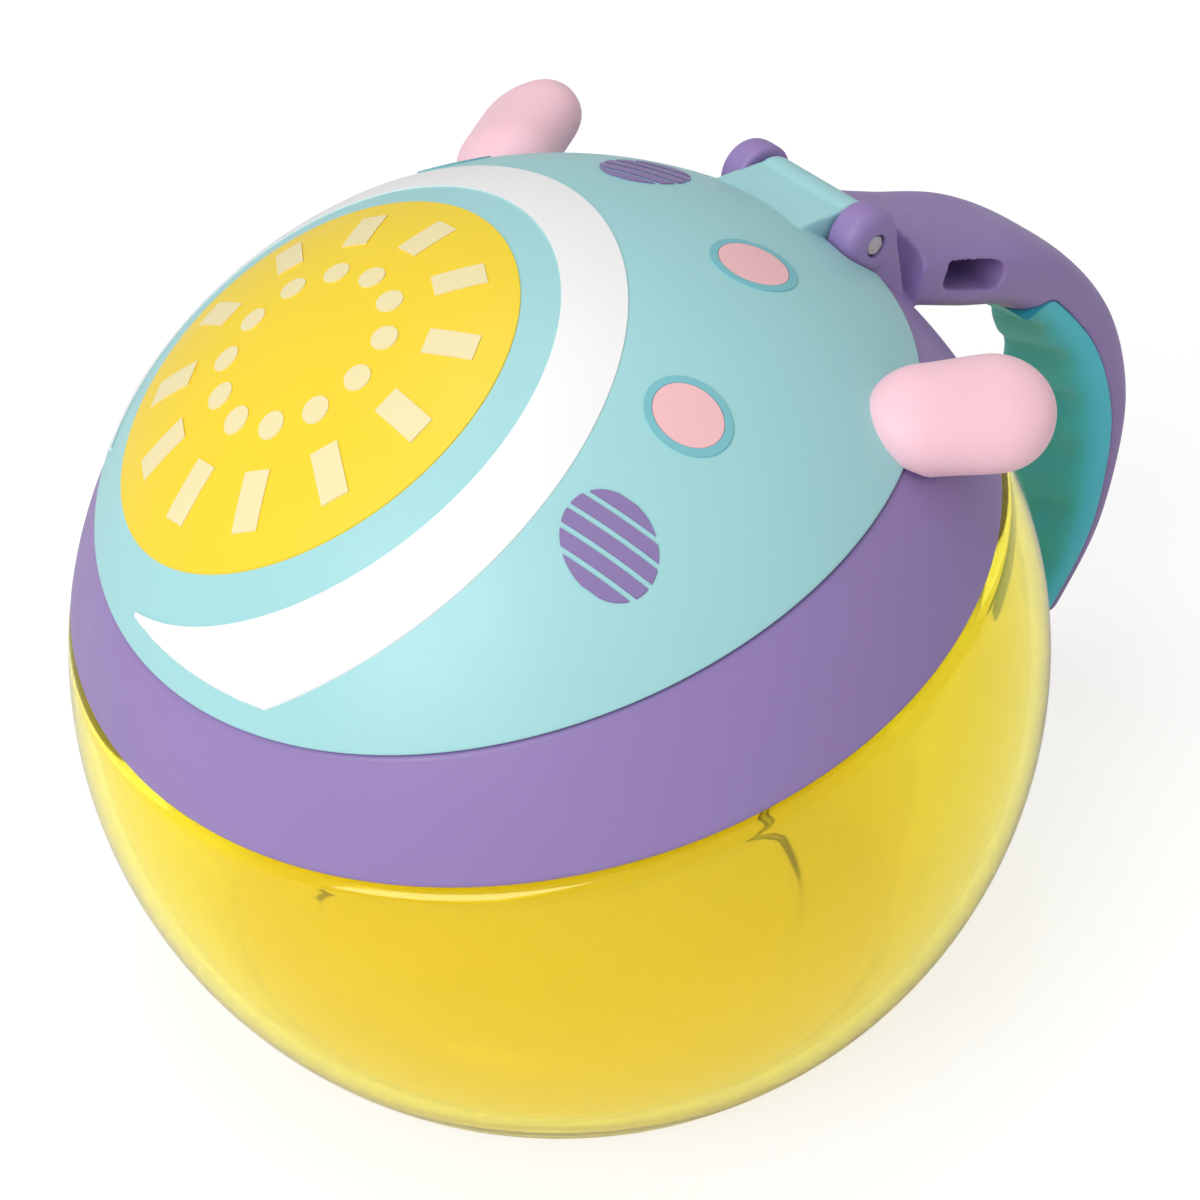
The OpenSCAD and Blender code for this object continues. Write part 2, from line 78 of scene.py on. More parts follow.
# Small tools
def tilt(points, angle):
    """Points of a frame slanted forward about X, moved to the ball's middle."""
    p = np.asarray(points, float)
    c, s = math.cos(angle), math.sin(angle)
    return np.stack([p[..., 0], p[..., 1] * c - p[..., 2] * s, BALL_Z + p[..., 1] * s + p[..., 2] * c], -1)


def untilt(points, angle):
    p = np.asarray(points, float)
    c, s = math.cos(angle), math.sin(angle)
    y, z = p[..., 1], p[..., 2] - BALL_Z
    return np.stack([p[..., 0], y * c + z * s, -y * s + z * c], -1)


def angles(n=None):
    return np.arange(n or AROUND) * TURN / (n or AROUND)


def circle(r, h, n=None):
    """Ring of points of radius r (a number or one per angle) at height h."""
    a = angles(n)
    return np.stack([r * np.cos(a), r * np.sin(a), h + 0 * a], -1)


def smooth(a, b, x):
    t = np.clip((x - a) / (b - a), 0, 1)
    return t * t * (3 - 2 * t)


def mix(a, b, t):
    return a + (b - a) * t


def rounded(profile, steps=5):
    """2-D polyline of (x, y, radius) points with each corner turned into a soft arc."""
    out = []
    n = len(profile)
    for i, (x, y, r) in enumerate(profile):
        p = np.array([x, y], float)
        if r <= 0 or i in (0, n - 1):
            out.append(p)
            continue
        a = np.array(profile[i - 1][:2], float) - p
        b = np.array(profile[i + 1][:2], float) - p
        la, lb = np.linalg.norm(a), np.linalg.norm(b)
        cut = min(r, 0.45 * la, 0.45 * lb)
        pa, pb = p + a / la * cut, p + b / lb * cut
        for k in range(steps + 1):
            t = k / steps
            out.append((1 - t) ** 2 * pa + 2 * t * (1 - t) * p + t ** 2 * pb)
    return out


def bend(pa, corner, pb, steps=5):
    """Rings along a soft arc from ring pa past a corner ring to ring pb."""
    return [(1 - t) ** 2 * pa + 2 * t * (1 - t) * corner + t ** 2 * pb for t in np.linspace(0, 1, steps + 1)]


def toward(a, b):
    """Unit steps from the points of ring a to those of ring b."""
    return (b - a) / np.linalg.norm(b - a, axis=-1, keepdims=True)


def on_ball(a, b, steps, centre=(0, 0, BALL_Z)):
    """Rings between rings a and b that stay on the ball they lie on."""
    c = np.array(centre, float)
    a, b = a - c, b - c
    r = np.linalg.norm(a, axis=-1, keepdims=True)
    dot = np.clip((a * b).sum(-1, keepdims=True) / (r * np.linalg.norm(b, axis=-1, keepdims=True)), -1, 1)
    w = np.arccos(dot)
    return [c + (np.sin((1 - t) * w) * a + np.sin(t * w) * b) / np.sin(w) for t in np.linspace(0, 1, steps + 1)]


def mesh_object(name, verts, faces, smooth_faces=True):
    mesh = bpy.data.meshes.new(name)
    mesh.from_pydata([tuple(v) for v in np.asarray(verts, float) * MM], [], faces)
    mesh.validate()
    mesh.polygons.foreach_set("use_smooth", [smooth_faces] * len(mesh.polygons))
    obj = bpy.data.objects.new(name, mesh)
    bpy.context.scene.collection.objects.link(obj)
    return obj


def loft(name, rings, ends="poles", loop=False):
    """Skin through rings of equal length. ends: poles closes both with a middle point, open leaves them."""
    rings = [np.asarray(r, float) for r in rings]
    n, m = len(rings[0]), len(rings)
    verts = np.concatenate(rings)
    faces = []
    for i in range(m if loop else m - 1):
        a, b = i * n, ((i + 1) % m) * n
        faces += [(a + j, a + (j + 1) % n, b + (j + 1) % n, b + j) for j in range(n)]
    if not loop and ends == "poles":
        verts = np.concatenate([verts, [rings[0].mean(0)], [rings[-1].mean(0)]])
        first, last = m * n, m * n + 1
        faces += [(first, (j + 1) % n, j) for j in range(n)]
        faces += [(last, (m - 1) * n + j, (m - 1) * n + (j + 1) % n) for j in range(n)]
    obj = mesh_object(name, verts, faces)
    outwards(obj)
    return obj


def outwards(obj):
    bm = bmesh.new()
    bm.from_mesh(obj.data)
    bmesh.ops.recalc_face_normals(bm, faces=bm.faces)
    bm.to_mesh(obj.data)
    bm.free()


def lathe(name, profile, angle, n=None, loop=True):
    """Turned ring from an (r, h) outline in a slanted frame."""
    return loft(name, [tilt(circle(r, h, n), angle) for r, h in profile], loop=loop)


def baked(obj):
    """The object with its modifiers worked into its mesh."""
    dg = bpy.context.evaluated_depsgraph_get()
    mesh = bpy.data.meshes.new_from_object(obj.evaluated_get(dg))
    old = obj.data
    obj.modifiers.clear()
    obj.data = mesh
    if old.users == 0:
        bpy.data.meshes.remove(old)
    return obj


def joined(name, objs):
    """One object from several, their meshes laid together."""
    bm = bmesh.new()
    for o in objs:
        bm.from_mesh(o.data)
    mesh = bpy.data.meshes.new(name)
    bm.to_mesh(mesh)
    bm.free()
    for o in objs:
        bpy.data.objects.remove(o)
    obj = bpy.data.objects.new(name, mesh)
    bpy.context.scene.collection.objects.link(obj)
    return obj


def cut(obj, tool):
    """The object less the tool, which is used up."""
    m = obj.modifiers.new("cut", "BOOLEAN")
    m.operation, m.object, m.solver = "DIFFERENCE", tool, "MANIFOLD"
    bpy.context.view_layer.update()
    baked(obj)
    bpy.data.objects.remove(tool)
    return obj


def fused(obj, voxel, rounds):
    """The parts of a mesh grown together on a fine grid, their corners softened."""
    m = obj.modifiers.new("grow", "REMESH")
    m.mode, m.voxel_size, m.use_smooth_shade = "VOXEL", voxel * MM, True
    s = obj.modifiers.new("soften", "SMOOTH")
    s.factor, s.iterations = 0.5, rounds
    bpy.context.view_layer.update()
    baked(obj)
    obj.data.polygons.foreach_set("use_smooth", [True] * len(obj.data.polygons))
    return obj


def sharp_by_angle(obj, degrees=35):
    """Smooth shading that stays crisp over edges sharper than the angle."""
    bm = bmesh.new()
    bm.from_mesh(obj.data)
    limit = math.radians(degrees)
    for e in bm.edges:
        e.smooth = not (len(e.link_faces) == 2 and e.calc_face_angle(0) > limit)
    bm.to_mesh(obj.data)
    bm.free()


def prism(name, outline, x0, x1):
    """Solid of a (y, h) outline in the lid's frame, from x0 to x1."""
    n = len(outline)
    verts = [tilt([x, y, h], LID_TILT) for x in (x0, x1) for y, h in outline]
    faces = [tuple(range(n))[::-1], tuple(range(n, 2 * n))]
    faces += [(i, (i + 1) % n, n + (i + 1) % n, n + i) for i in range(n)]
    obj = mesh_object(name, verts, faces)
    outwards(obj)
    return obj


def rod(name, profile, y, h, n=64):
    """Turned solid along X in the lid's frame, from an (x, r) outline, about the point (y, h)."""
    a = angles(n)
    rings = [tilt(np.stack([x + 0 * a, y + r * np.cos(a), h + r * np.sin(a)], -1), LID_TILT) for x, r in profile]
    return loft(name, rings)


def wall_patch(m, half_turn, heights, outer, inner, narrow=None):
    """Block of a ball's wall at the back, m by m points, between two heights in degrees. narrow: how far it
    reaches sideways beside the knuckles."""
    unit = np.array([[(math.sin(f) * math.cos(g), math.cos(f) * math.cos(g), math.sin(g))
                      for g in np.linspace(math.radians(heights[0]), math.radians(heights[1]), m)]
                     for f in np.linspace(-half_turn, half_turn, m)]).reshape(-1, 3)
    flat = np.concatenate([unit * outer, unit * inner])
    if narrow:
        near = flat[:, 1] > HINGE_Y - KNUCKLE_R - 1.2
        flat[near, 0] = np.clip(flat[near, 0], -narrow, narrow)
    faces = []
    for i in range(m - 1):
        for j in range(m - 1):
            q = (i * m + j, i * m + j + 1, (i + 1) * m + j + 1, (i + 1) * m + j)
            faces += [q, tuple(v + m * m for v in q[::-1])]
    rim = [i * m for i in range(m)] + [(m - 1) * m + j for j in range(1, m)]
    rim += [i * m + m - 1 for i in range(m - 2, -1, -1)] + list(range(m - 2, 0, -1))
    for k, v in enumerate(rim):
        w = rim[(k + 1) % len(rim)]
        faces.append((v, w, w + m * m, v + m * m))
    obj = mesh_object("patch", tilt(flat, LID_TILT), faces)
    outwards(obj)
    return obj


def place(obj, body, nodes, material, slot=None):
    obj.data.materials.clear()
    obj.data.materials.append(material)
    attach(obj, body)
    if nodes:
        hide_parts(*nodes)
    return obj


# Materials
def lin(r, g, b):
    """Scene-linear colour from 0-255 screen values."""
    f = lambda v: v / 12.92 if v <= 0.04045 else ((v + 0.055) / 1.055) ** 2.4
    return tuple(f(v / 255) for v in (r, g, b)) + (1.0,)


class Nodes:
    """A material and short ways to add nodes to it."""

    def __init__(self, name):
        self.mat = bpy.data.materials.new(name)
        self.mat.use_nodes = True
        self.tree = self.mat.node_tree
        self.tree.nodes.clear()
        self.out = self.add("ShaderNodeOutputMaterial")
        self.shader = self.add("ShaderNodeBsdfPrincipled")
        self.link(self.shader.outputs[0], self.out.inputs["Surface"])
        self.coord = self.add("ShaderNodeTexCoord").outputs["Object"]

    def add(self, kind, **values):
        node = self.tree.nodes.new(kind)
        for key, value in values.items():
            setattr(node, key, value)
        return node

    def link(self, a, b):
        self.tree.links.new(a, b)

    def noise(self, scale, detail=2.0, rough=0.5, stretch=None):
        node = self.add("ShaderNodeTexNoise")
        node.inputs["Scale"].default_value = scale
        node.inputs["Detail"].default_value = detail
        node.inputs["Roughness"].default_value = rough
        if stretch:
            m = self.add("ShaderNodeMapping")
            m.inputs["Scale"].default_value = stretch
            self.link(self.coord, m.inputs[0])
            self.link(m.outputs[0], node.inputs["Vector"])
        else:
            self.link(self.coord, node.inputs["Vector"])
        return node.outputs["Fac"]

    def spread(self, value, low, high, a=0.3, b=0.7):
        """Value from a..b mapped to low..high."""
        node = self.add("ShaderNodeMapRange")
        for i, v in enumerate((a, b, low, high)):
            node.inputs[i + 1].default_value = v
        self.link(value, node.inputs[0])
        return node.outputs[0]

    def blend(self, fac, a, b, kind="MIX"):
        node = self.add("ShaderNodeMix", data_type="RGBA", blend_type=kind)
        if isinstance(fac, float):
            node.inputs[0].default_value = fac
        else:
            self.link(fac, node.inputs[0])
        for socket, value in ((node.inputs[6], a), (node.inputs[7], b)):
            if isinstance(value, tuple):
                socket.default_value = value
            else:
                self.link(value, socket)
        return node.outputs[2]

    def bump(self, *layers):
        """Bump from (height, distance in mm, strength) layers, chained."""
        normal = None
        for height, distance, strength in layers:
            node = self.add("ShaderNodeBump")
            node.inputs["Strength"].default_value = strength
            node.inputs["Distance"].default_value = distance * MM
            self.link(height, node.inputs["Height"])
            if normal:
                self.link(normal, node.inputs["Normal"])
            normal = node.outputs[0]
        self.link(normal, self.shader.inputs["Normal"])

    def set(self, **values):
        for key, value in values.items():
            self.shader.inputs[key.replace("_", " ")].default_value = value


def plastic(name, colour, rough=0.42, grain=0.5, shade=0.95, spec=0.5, sheen=0.0, sub=0.0):
    """Moulded plastic: a soft cloud of shade, fine satin grain and uneven gloss."""
    m = Nodes(name)
    dark = tuple(c * shade for c in colour[:3]) + (1.0,)
    cloud = m.spread(m.noise(28, 3), 0.0, 1.0)
    m.link(m.blend(cloud, dark, colour), m.shader.inputs["Base Color"])
    m.link(m.spread(m.noise(160, 4, 0.6), rough - 0.05, rough + 0.06), m.shader.inputs["Roughness"])
    m.bump((m.noise(2600, 2, 0.6), 0.012, grain), (m.noise(22, 1), 0.10, 0.06))
    m.set(Specular_IOR_Level=spec, IOR=1.48)
    if sheen:
        m.set(Sheen_Weight=sheen, Sheen_Roughness=0.5)
    if sub:
        m.set(Subsurface_Weight=sub, Subsurface_Scale=0.002)
    return m.mat


def clear_plastic(name, colour):
    """Clear tinted plastic: bent light, a deeper, darker tint towards the bottom that is painted shade, a paler
    painted sheen at glancing angles, faint haze and mould flow lines.
    """
    m = Nodes(name)
    m.set(Transmission_Weight=0.9, IOR=1.46, Specular_IOR_Level=0.5)
    facing = m.add("ShaderNodeLayerWeight")
    facing.inputs[0].default_value = 0.42
    # Painted shade: from 10 mm down to 3 mm above the base the colour deepens and darkens, the contact shadow
    # under the floor painted in
    split = m.add("ShaderNodeSeparateXYZ")
    m.link(m.coord, split.inputs[0])
    wall = m.blend(m.spread(split.outputs["Z"], 0.0, 1.0, 0.0032, 0.010), colour, BOWL_WALL)
    # Painted sheen: paler yellow where the surface is seen edge-on
    m.link(m.blend(m.spread(facing.outputs["Facing"], 0.0, 1.0, 0.25, 0.95), wall, BOWL_PAINTED_EDGE_SHEEN),
           m.shader.inputs["Base Color"])
    m.link(m.spread(m.noise(45, 3), 0.015, 0.06), m.shader.inputs["Roughness"])
    flow = m.noise(14, 2, 0.5, stretch=(1.0, 1.0, 5.0))
    m.bump((flow, 0.12, 0.10), (m.noise(700, 2), 0.004, 0.2))
    path = m.add("ShaderNodeLightPath")
    lets = m.add("ShaderNodeBsdfTransparent")
    lets.inputs[0].default_value = SHADE_TINT
    both = m.add("ShaderNodeMixShader")
    m.link(path.outputs["Is Shadow Ray"], both.inputs[0])
    m.link(m.shader.outputs[0], both.inputs[1])
    m.link(lets.outputs[0], both.inputs[2])
    m.link(both.outputs[0], m.out.inputs["Surface"])
    return m.mat


def steel(name):
    m = Nodes(name)
    m.link(m.blend(m.spread(m.noise(900, 3, 0.6, stretch=(0.1, 1, 1)), 0.0, 1.0), lin(168, 162, 166),
                   lin(196, 192, 196)), m.shader.inputs["Base Color"])
    m.link(m.spread(m.noise(1500, 3), 0.26, 0.42), m.shader.inputs["Roughness"])
    m.bump((m.noise(3000, 2, 0.5, stretch=(0.1, 1, 1)), 0.01, 0.5))
    m.set(Metallic=0.55)
    return m.mat


# Scene-linear colours of the clear plastic: painted shade deepening it towards the bottom, its wall tint,
# painted sheen at glancing angles, and what it does to lamp light
BOWL_PAINTED_BOTTOM_SHADE, BOWL_WALL = (0.93, 0.75, 0.012, 1.0), (0.95, 0.84, 0.06, 1.0)
# Painted sheen: the paler yellow shown at glancing angles
BOWL_PAINTED_EDGE_SHEEN = (0.96, 0.91, 0.34, 1.0)
SHADE_TINT = (0.84, 0.81, 0.64, 1.0)
PURPLE = plastic("satin_purple", lin(153, 129, 187), 0.44, 0.55, 0.95, sub=0.05)
TEAL = plastic("satin_teal", lin(166, 219, 222), 0.40, 0.45, 0.96, sub=0.05)
GRIP = plastic("soft_grip", lin(76, 206, 226), 0.62, 0.8, 0.92, sheen=0.15)
PINK = plastic("soft_pink", lin(255, 206, 218), 0.50, 0.6, 0.96, sheen=0.12, sub=0.12)
WHITE_SOFT = plastic("soft_white", lin(240, 240, 236), 0.55, 0.6, 0.97, sub=0.1)
WHITE = plastic("satin_white", lin(243, 243, 242), 0.40, 0.4, 0.97)
INK_WHITE = plastic("print_white", lin(247, 247, 247), 0.38, 0.3, 0.985)
INK_YELLOW = plastic("print_yellow", lin(249, 217, 48), 0.38, 0.3, 0.975)
INK_CREAM = plastic("print_cream", lin(243, 229, 176), 0.38, 0.3, 0.98)
INK_CYAN = plastic("print_cyan", lin(126, 196, 206), 0.38, 0.3, 0.97)
INK_PINK = plastic("print_pink", lin(250, 196, 200), 0.38, 0.3, 0.97)
INK_PURPLE = plastic("print_purple", lin(142, 121, 174), 0.38, 0.3, 0.96)
# The bowl's material takes the painted bottom shade as its colour
CLEAR = clear_plastic("clear_yellow", BOWL_PAINTED_BOTTOM_SHADE)
STEEL = steel("brushed_pin")


# Bowl
def rib_height(a, h, first):
    """How far the thread stands at angle a (degrees) and height h, 0 to 1, for ribs that start at first."""
    out = np.zeros(np.broadcast(a, h).shape)
    for i in range(STARTS):
        along = (a - i * 360 / STARTS) % 360
        low = first + LEAD * along / 360
        ends = smooth(0, 3, along) * (1 - smooth(RIB_SPAN - 3, RIB_SPAN, along))
        flank = smooth(low - 0.1, low + 0.35, h) * (1 - smooth(low + RIB_W - 0.35, low + RIB_W + 0.1, h))
        out = np.maximum(out, ends * flank)
    return out


def bowl():
    a = np.degrees(angles())
    rings = []
    foot = rounded([(0.5, 1.0, 0), (27.2, 1.0, 1.6), (29.2, 0.0, 1.6), (34.6, 0.0, 0)], 6)
    rings += [circle(r, z) for r, z in foot]
    # Base rounding on to the ball
    centre_r = math.sqrt((BALL_R - BASE_ROUND) ** 2 - (BALL_Z - BASE_ROUND) ** 2)
    lift = math.atan2(BALL_Z - BASE_ROUND, centre_r)
    for t in np.linspace(0, 1, 7):
        g = mix(-math.pi / 2, -lift, t)
        rings.append(circle(centre_r + BASE_ROUND * math.cos(g), BASE_ROUND + BASE_ROUND * math.sin(g)))
    # Slanted rim
    rim_h, e = SHOULDER - SEAM_GAP, 1.7
    ch = rim_h - e
    cr = math.sqrt((BALL_R - e) ** 2 - ch ** 2)
    first = math.atan2(ch, cr)
    arc = [(cr + e * math.cos(g), ch + e * math.sin(g)) for g in np.linspace(first, math.pi / 2, 8)]
    top = tilt(circle(*arc[0]), COLLAR_TILT)
    rings += on_ball(rings[-1], top, 56)[1:-1]
    rings += [tilt(circle(r, h), COLLAR_TILT) for r, h in arc]
    # Shoulder, neck with its thread, and back down inside
    up = rounded([(cr - 0.2, rim_h, 0), (NECK_OUT, rim_h, 0.5), (NECK_OUT, rim_h + 1.2, 0)], 3)[1:]
    rings += [tilt(circle(r, h), COLLAR_TILT) for r, h in up]
    for h in np.linspace(rim_h + 1.3, NECK_TOP - 0.3, 30):
        r = NECK_OUT + RIB_DEPTH * rib_height(a, h, SHOULDER + RIB_LIFT)
        rings.append(tilt(circle(r, h), COLLAR_TILT))
    under = rim_h - WALL
    inner_r = math.sqrt((BALL_R - WALL) ** 2 - (under - 1.2) ** 2)
    down = rounded([(NECK_OUT, NECK_TOP - 0.3, 0), (NECK_OUT, NECK_TOP, 0.4), (NECK_R, NECK_TOP, 0.4),
                    (NECK_R, under, 1.6), (inner_r - 0.6, under, 1.6), (inner_r, under - 1.2, 0)], 5)[1:]
    rings += [tilt(circle(r, h), COLLAR_TILT) for r, h in down]
    low = circle(math.sqrt((BALL_R - WALL) ** 2 - (BALL_Z - FLOOR_T - 2.2) ** 2), FLOOR_T + 2.2)
    rings += on_ball(rings[-1], low, 48)[1:]
    edge = float(low[0][0])
    floor = rounded([(edge, FLOOR_T + 2.2, 0), (edge - 2.2, FLOOR_T, 2.0), (20.0, FLOOR_T, 0),
                     (0.5, FLOOR_T, 0)], 6)
    rings += [circle(r, z) for r, z in floor[1:]]
    obj = loft("bowl_clear", rings)
    place(obj, "bowl", ["bowl"], CLEAR, "clear_yellow")


# Collar
def edge_height(y, gap=0.0):
    """Height of the bowed parting surface in the lid's frame."""
    return COLLAR_TOP - BOW_R + np.sqrt((BOW_R + gap) ** 2 - y ** 2)


def edge_ring(r_ball, gap=0.0, n=None):
    """Where the bowed surface meets a ball, as a ring in the lid's frame."""
    a = angles(n)
    r = np.full(len(a), math.sqrt(r_ball ** 2 - COLLAR_TOP ** 2))
    for _ in range(12):
        h = edge_height(r * np.sin(a), gap)
        r = np.sqrt(r_ball ** 2 - h ** 2)
    return np.stack([r * np.cos(a), r * np.sin(a), h], -1)


def flat_ring(r, gap=0.0, n=None):
    """Ring of radius r on the bowed surface, in the lid's frame."""
    a = angles(n)
    return np.stack([r * np.cos(a), r * np.sin(a), edge_height(r * np.sin(a), gap)], -1)


def collar():
    a = np.degrees(angles())
    ch = SHOULDER + SEAM_ROUND
    cr = math.sqrt((BALL_R - SEAM_ROUND) ** 2 - ch ** 2)
    first = math.atan2(ch, cr)
    rings = [tilt(circle(BORE_R + 0.8, SHOULDER), COLLAR_TILT)]
    rings += [tilt(circle(cr + SEAM_ROUND * math.cos(g), ch + SEAM_ROUND * math.sin(g)), COLLAR_TILT)
              for g in np.linspace(-math.pi / 2, first, 7)]
    rim = tilt(edge_ring(BALL_R), LID_TILT)
    body = on_ball(rings[-1], rim, 30)
    rings += body[1:-1]
    near = rim + toward(rim, body[-2]) * EDGE_SOFT
    inner = tilt(flat_ring(RECESS_R), LID_TILT)
    inward = toward(rim, inner)
    rings += bend(near, rim, rim + inward * EDGE_SOFT, 5)
    wall_low = tilt(circle(RECESS_R, RECESS_FLOOR), LID_TILT)
    downward = toward(inner, wall_low)
    rings += bend(inner - inward * 0.4, inner, inner + downward * 0.4, 4)
    rings += [tilt(circle(RECESS_R, RECESS_FLOOR + 0.4), LID_TILT)]
    rings += [tilt(circle(r, RECESS_FLOOR), LID_TILT) for r in (RECESS_R - 0.4, 36.5)]
    hole_top = tilt(circle(DECK_HOLE, RECESS_FLOOR), LID_TILT)
    hole = untilt(hole_top, COLLAR_TILT)
    hole[:, 2] = DECK_UNDER
    rings += [hole_top, tilt(hole, COLLAR_TILT)]
    rings += [tilt(circle(r, DECK_UNDER), COLLAR_TILT) for r in (39.0, BORE_R - 0.5)]
    for h in np.linspace(DECK_UNDER - 0.4, SHOULDER + 0.3, 40):
        r = BORE_R - RIB_DEPTH * rib_height(a, h, SHOULDER + RIB_LIFT - LEAD / STARTS / 2)
        rings.append(tilt(circle(r, h), COLLAR_TILT))
    obj = loft("collar_ring", rings, loop=True)
    # Room for the lid's barrel
    tool = rod("tool", [(-KNUCKLE_IN, BARREL_R + 0.5), (KNUCKLE_IN, BARREL_R + 0.5)], HINGE_Y, HINGE_H, 96)
    cut(obj, tool)
    sharp_by_angle(obj, 40)
    place(obj, "collar", ["collar"], PURPLE, "purple")


# Handle
REACH = 78.0
LINE = np.array([[41, 36], [51, 31.9], [60.4, 28.2], [REACH - 10.2, 22.4], [REACH - 3.3, 13.6], [REACH, 3.0],
                 [REACH - 0.6, -7.8], [REACH - 3.4, -18.0], [REACH - 7.3, -26.6]])
ROOT_W, GRIP_W, ROOT_T, GRIP_T, END_T = 10.2, 8.0, 8.4, 9.6, 6.0
GRIP_FROM, RIPPLES, RIPPLE_D = 0.285, 5, 0.8


def on_line(u):
    n = len(LINE) - 1
    k = min(n - 1, int(u * n))
    t = u * n - k
    p0, p1, p2, p3 = LINE[max(0, k - 1)], LINE[k], LINE[k + 1], LINE[min(n, k + 2)]
    return 0.5 * (2 * p1 + (p2 - p0) * t + (2 * p0 - 5 * p1 + 4 * p2 - p3) * t * t
                  + (3 * p1 - p0 - 3 * p2 + p3) * t ** 3)


def outward(u):
    d = on_line(min(1, u + 0.005)) - on_line(max(0, u - 0.005))
    return np.array([-d[1], d[0]]) / np.linalg.norm(d)


def half_w(u):
    return mix(ROOT_W, GRIP_W, smooth(0.12, 0.5, u)) - 1.6 * smooth(0.8, 1, u)


def thick(u):
    return mix(mix(ROOT_T, GRIP_T, smooth(0.1, 0.45, u)), END_T, smooth(0.62, 1, u))


def split_at(u):
    return mix(-thick(u) / 2 - 0.01, mix(-0.08, 0.06, smooth(0.42, 0.8, u)) * thick(u),
               smooth(GRIP_FROM, GRIP_FROM + 0.07, u))


def section(u, n):
    """Rounded-box section: across and outwards."""
    a = angles(n)
    p = 2 / 3.2
    c, s = np.cos(a), np.sin(a)
    return half_w(u) * np.sign(c) * np.abs(c) ** p, thick(u) / 2 * np.sign(s) * np.abs(s) ** p


def at_line(u, across, out):
    m, o = on_line(u), outward(u)
    return np.stack([across, m[0] + o[0] * out, BALL_Z + m[1] + o[1] * out], -1)


def end_shrink(u, length=0.05):
    """The free end draws in to a rounded tip."""
    t = np.clip((u - (1 - length)) / length, 0, 1)
    return math.sqrt(max(0.0, 1 - 0.82 * t ** 2.4))


def handle():
    n = 96
    rings = []
    for u in np.linspace(0.03, 1, 150):
        x, q = section(u, n)
        k = end_shrink(u)
        s = split_at(u)
        q = np.maximum(q * k, s)
        rings.append(at_line(u, x * k, q))
    body = loft("hook", rings)
    # Strap slots from both sides, their ends rounded
    for side in (-1, 1):
        a = angles(48)
        c, s = np.cos(a), np.sin(a)
        yy, zz = 5.0 * np.sign(c) * np.abs(c) ** 0.35, 1.65 * np.sign(s) * np.abs(s) ** 0.6
        t = math.radians(-20.5)
        rings = []
        for x, grow in ((ROOT_W - 8.0, 0.82), (ROOT_W - 7.6, 0.94), (ROOT_W - 6.8, 1.0), (ROOT_W + 4, 1.0)):
            y1, z1 = yy * grow, zz * grow
            rings.append(np.stack([side * x + 0 * a, 51.3 + y1 * math.cos(t) - z1 * math.sin(t),
                                   BALL_Z + 32.8 + y1 * math.sin(t) + z1 * math.cos(t)], -1))
        cut(body, loft("slot_tool", rings))
    parts = [body]
    for side in (-1, 1):
        e = KNUCKLE_ROUND
        arc = [(KNUCKLE_OUT - e + e * math.sin(g), KNUCKLE_R - e + e * math.cos(g))
               for g in np.linspace(0, math.pi / 2, 8)]
        disc = [(KNUCKLE_IN, KNUCKLE_R)] + arc
        parts.append(rod("knuckle", [(side * x, r) for x, r in disc], HINGE_Y, HINGE_H, 80))
        outline = [(HINGE_Y + y, HINGE_H - d) for d, y in
                   ((0, KNUCKLE_R - 0.5), (6, 3.2), (13, 2.8), (13, -4.5), (5, -4.5), (3.4, -2.2), (0, -1))]
        parts.append(prism("cheek", outline, side * KNUCKLE_IN, side * (KNUCKLE_OUT - 0.5)))
    # Patch of the collar's wall that the handle grows from, a little under its surface
    parts.append(wall_patch(40, 0.34, (20.5, 33.5), BALL_R - 0.08, BALL_R - 2.6))
    obj = joined("handle_hook", parts)
    fused(obj, 0.27, 14)
    for side in (-1, 1):
        x0, x1 = sorted((side * (KNUCKLE_OUT - 1.6), side * (KNUCKLE_OUT + 1)))
        cut(obj, rod("bore", [(x0, PIN_R + 0.12), (x1, PIN_R + 0.12)], HINGE_Y, HINGE_H, 48))
    sharp_by_angle(obj, 50)
    place(obj, "collar", ["handle"], PURPLE, "purple")


def grip():
    """Soft overmould: smooth along its edges, with slanting finger ripples across the inner face."""
    n = 120
    rings = []
    for u in np.linspace(GRIP_FROM + 0.012, 1, 260):
        x, q = section(u, n)
        k = end_shrink(u)
        s = split_at(u)
        a = angles(n)
        inner = np.clip(-np.sin(a), 0, 1) ** 1.2
        across = x / max(half_w(u), 1e-6)
        phase = RIPPLES * TURN * (u - 0.38 + 0.05 * across) / 0.5
        band = smooth(0.345, 0.40, u) * (1 - smooth(0.86, 0.93, u))
        side = 1 - 0.75 * smooth(0.45, 0.9, across)
        wave = (0.5 - 0.5 * np.cos(phase)) ** 1.6
        q = q * k + RIPPLE_D * 1.7 * band * inner * side * wave
        q = np.minimum(q, s - 0.02)
        rings.append(at_line(u, x * k, q))
    obj = loft("grip_soft", rings)
    place(obj, "collar", ["handle_grip"], GRIP, "grip_teal")


def pin():
    """Steel rod with a six-sided end."""
    a = angles(48)
    six = np.minimum(1.0, 0.905 / np.cos((a + math.pi / 6) % (math.pi / 3) - math.pi / 6))
    end = KNUCKLE_OUT - PIN_INSET
    rings = []
    for x, r, hexed in ((-end, 0.86, 1), (-end + 0.12, 1.0, 1), (-end + 1.2, 1.0, 1), (-end + 1.3, 1.0, 0),
                        (end - 1.3, 1.0, 0), (end - 1.2, 1.0, 1), (end - 0.12, 1.0, 1), (end, 0.86, 1)):
        rr = PIN_R * r * (six if hexed else 1.0)
        flat = np.stack([x + 0 * a, HINGE_Y + rr * np.cos(a), HINGE_H + rr * np.sin(a)], -1)
        rings.append(tilt(flat, LID_TILT))
    obj = loft("pin_steel", rings)
    sharp_by_angle(obj, 30)
    place(obj, "collar", ["hinge_pin"], STEEL, "steel")


